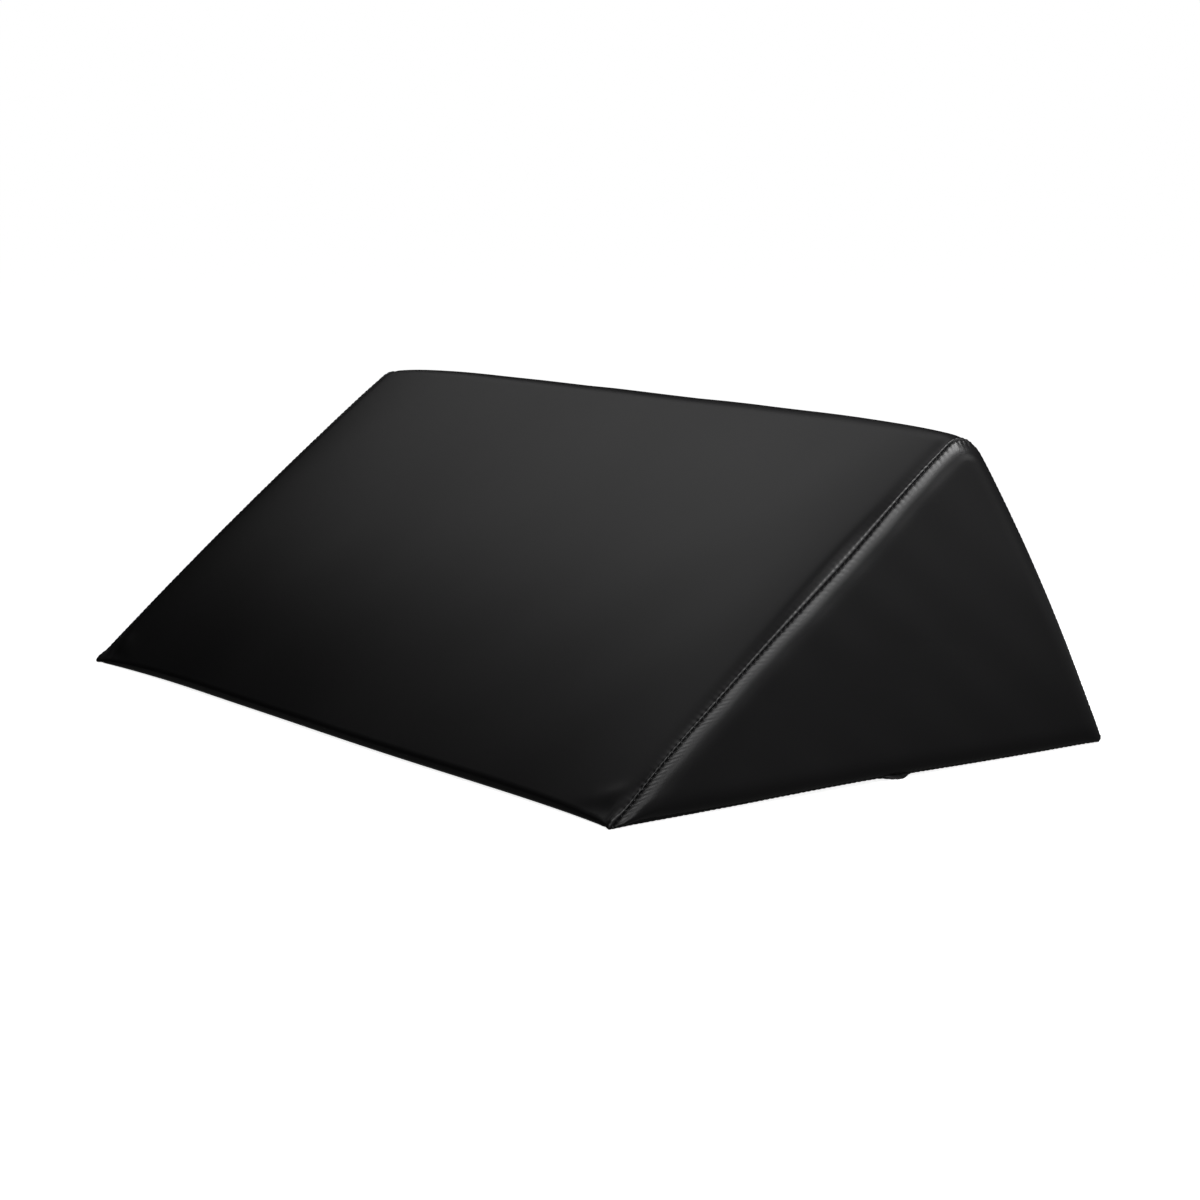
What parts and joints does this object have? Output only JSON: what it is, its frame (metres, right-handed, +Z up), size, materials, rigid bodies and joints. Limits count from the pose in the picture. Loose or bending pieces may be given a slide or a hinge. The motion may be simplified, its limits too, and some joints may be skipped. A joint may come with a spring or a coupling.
{
  "type": "triangular massage cushion",
  "caption": "Firm filled wedge bolster with a long gentle slope, a rounded ridge and a steep back, in a smooth black imitation leather cover with a sewn-in triangular panel at each end.",
  "frame": {"origin": "on the floor, under the middle of the cushion's bounding box", "axes": "+X along the ridge, from the left end to the right end; +Y from the low front toe to the steep back; +Z up"},
  "size_m": [0.608, 0.3736, 0.1991],
  "materials": {
    "wrap_leather": "satin black imitation leather",
    "end_leather": "satin black imitation leather"
  },
  "bodies": {
    "root": {"cushion_body": "wrap_leather", "end_panel_left": "end_leather", "end_panel_right": "end_leather"}
  },
  "joints": []
}
